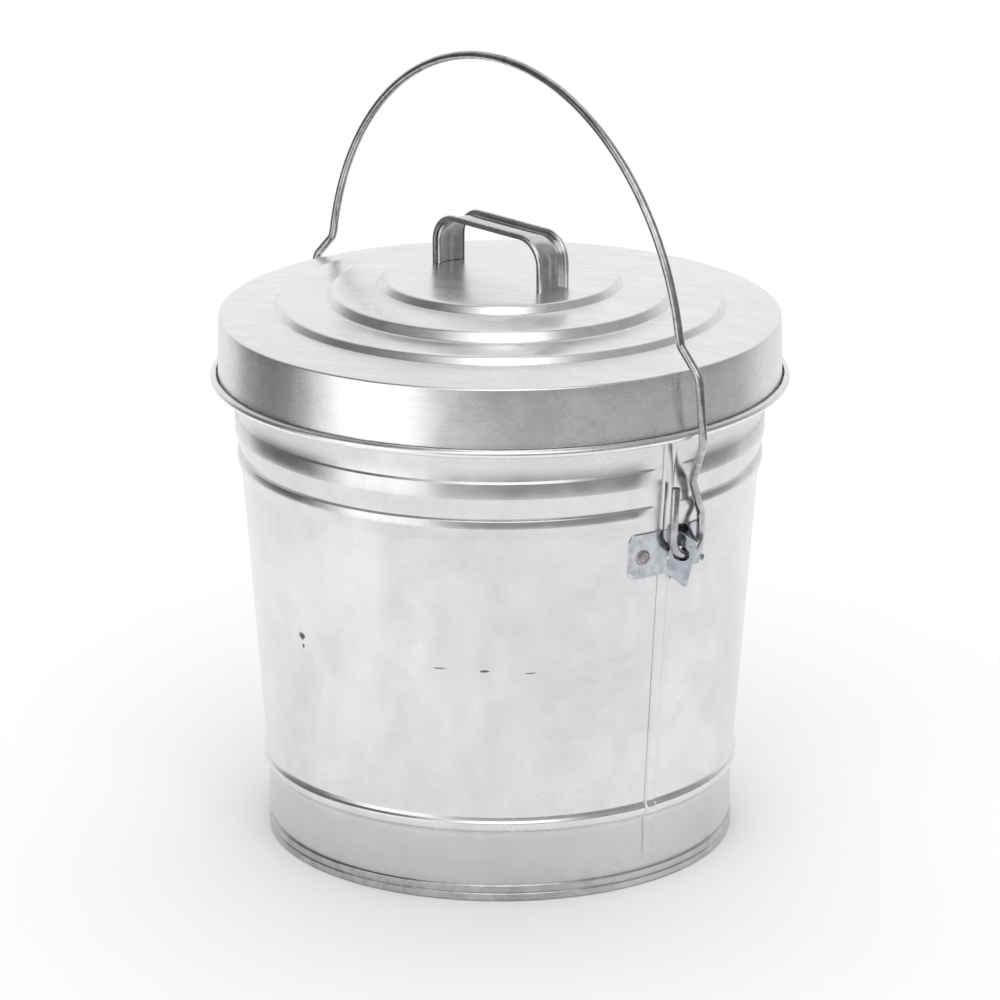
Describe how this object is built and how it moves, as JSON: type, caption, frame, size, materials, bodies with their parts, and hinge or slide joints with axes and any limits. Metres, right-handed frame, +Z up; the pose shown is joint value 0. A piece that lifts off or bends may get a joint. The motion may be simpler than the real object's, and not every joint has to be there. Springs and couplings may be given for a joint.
{
  "type": "oily waste can",
  "caption": "Tapered round steel can with a stepped lid, a strap handle on the lid and a wire bail that swings up over the lid and holds it shut.",
  "frame": {"origin": "centre of the base, on the floor", "axes": "+Z up; +X towards one ear, along the axis that the bail swings about; +Y square to both"},
  "size_m": [0.3486, 0.3326, 0.459],
  "materials": {
    "galvanized_sheet": "hot-dip galvanized, satin, with fine streaks",
    "galvanized_strap": "galvanized, satin",
    "galvanized_wire": "bright galvanized wire",
    "rivet_metal": "plain"
  },
  "bodies": {
    "can": {"body_shell": "galvanized_sheet", "rim_wire": "galvanized_wire", "bottom_pan": "galvanized_sheet", "ear_right": "galvanized_strap", "ear_left": "galvanized_strap", "rivet_right_front": "rivet_metal", "rivet_right_rear": "rivet_metal", "rivet_left_front": "rivet_metal", "rivet_left_rear": "rivet_metal"},
    "bail": {"bail": "galvanized_wire"},
    "lid": {"lid_pan": "galvanized_sheet", "lid_handle": "galvanized_strap"}
  },
  "joints": [
    {"name": "bail_swing", "type": "hinge", "parent": "can", "child": "bail", "pos_m": [0, 0, 0.211], "axis": [1, 0, 0], "range_deg": [-90, 90]},
    {"name": "lid_turn", "type": "hinge", "parent": "can", "child": "lid", "pos_m": [0, 0, 0.309], "axis": [0, 0, 1], "continuous": true}
  ]
}
